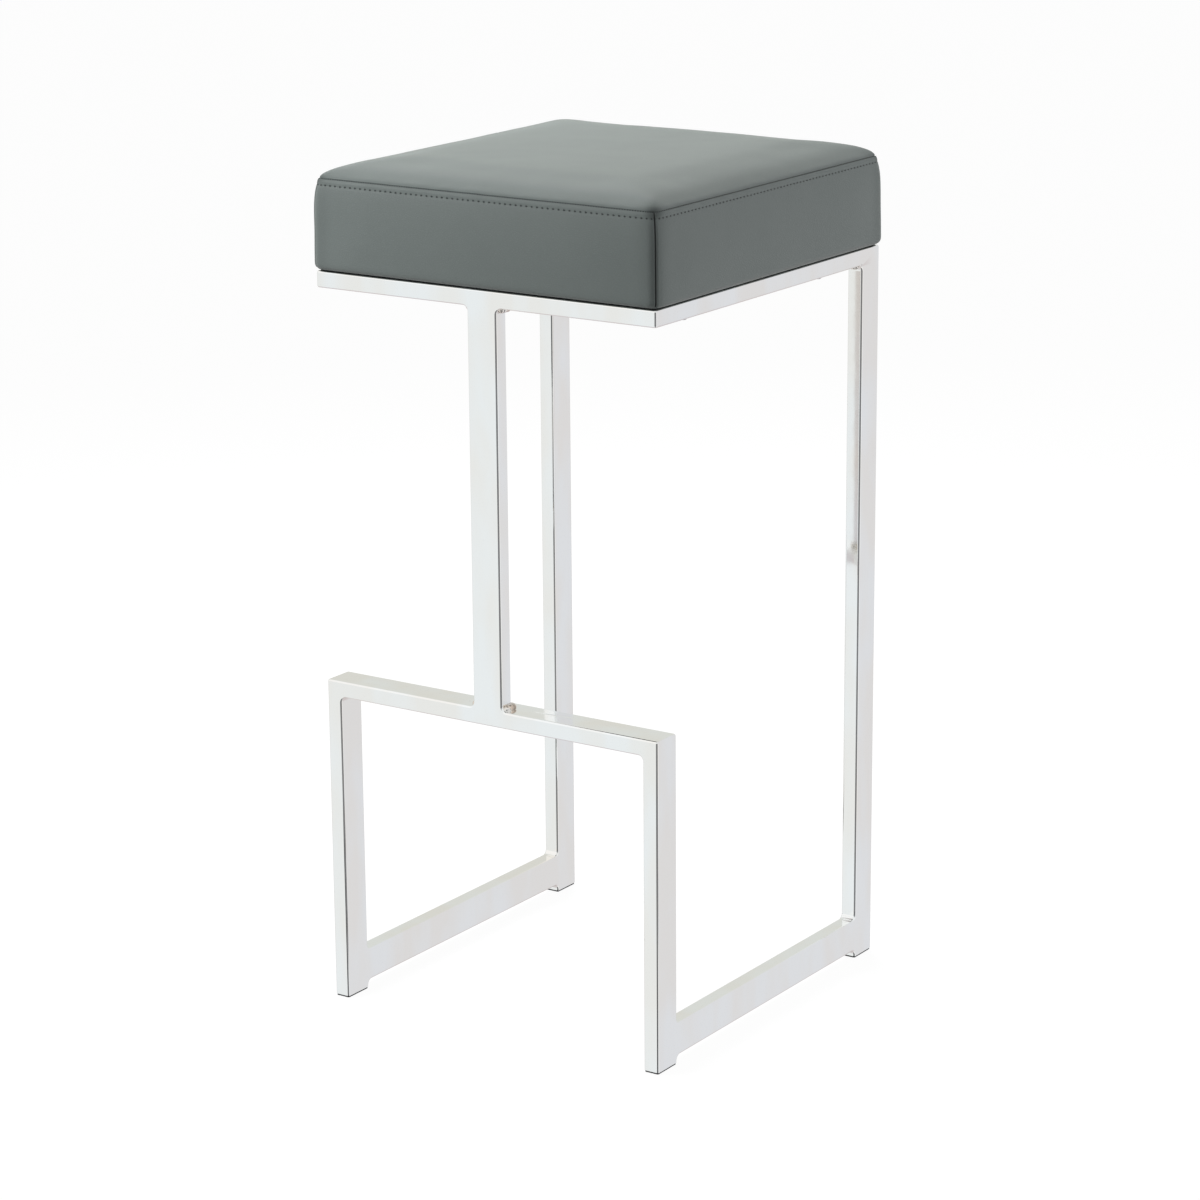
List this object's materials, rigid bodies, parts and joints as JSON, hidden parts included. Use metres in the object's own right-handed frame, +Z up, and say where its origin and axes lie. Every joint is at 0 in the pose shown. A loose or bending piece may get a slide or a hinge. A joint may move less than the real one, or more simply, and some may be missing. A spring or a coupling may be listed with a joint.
{
  "type": "bar stool",
  "caption": "Bar-height stool: boxed upholstered square seat on a welded chrome frame of rectangular tube with a centre front post, footrest and floor rails.",
  "frame": {"origin": "on the floor, under the middle of the seat", "axes": "+X to the right as seen from the front, which is the footrest side; +Y from the front to the back; +Z up"},
  "size_m": [0.359, 0.375, 0.7608],
  "materials": {
    "chrome_tube": "polished chrome plate over welded steel tube",
    "glide_plastic": "matt moulded",
    "leatherette": "fine-grained satin leatherette, grey",
    "plywood": "sanded, unfinished",
    "foam": "cut upholstery foam",
    "wadding": "loose polyester fibre",
    "dust_cloth": "black spunbonded cloth",
    "zinc_steel": "bright zinc plate"
  },
  "bodies": {
    "root": {"seat_rail_front": "chrome_tube", "seat_rail_rear": "chrome_tube", "seat_rail_left": "chrome_tube", "seat_rail_right": "chrome_tube", "front_post": "chrome_tube", "footrest_bar": "chrome_tube", "front_leg_left": "chrome_tube", "front_leg_right": "chrome_tube", "rear_leg_left": "chrome_tube", "rear_leg_right": "chrome_tube", "floor_rail_left": "chrome_tube", "floor_rail_right": "chrome_tube", "post_welds": "chrome_tube", "footrest_welds": "chrome_tube", "floor_rail_welds": "chrome_tube", "rear_leg_welds": "chrome_tube", "glide_front_left": "glide_plastic", "glide_front_right": "glide_plastic", "glide_rear_left": "glide_plastic", "glide_rear_right": "glide_plastic", "seat_board": "plywood", "foam_block": "foam", "wadding": "wadding", "cover_top": "leatherette", "cover_band_front": "leatherette", "cover_band_rear": "leatherette", "cover_band_left": "leatherette", "cover_band_right": "leatherette", "dust_cover": "dust_cloth", "staples": "zinc_steel", "tee_nuts": "zinc_steel", "seat_bolts": "zinc_steel", "flat_washers": "zinc_steel", "spring_washers": "zinc_steel"}
  },
  "joints": []
}
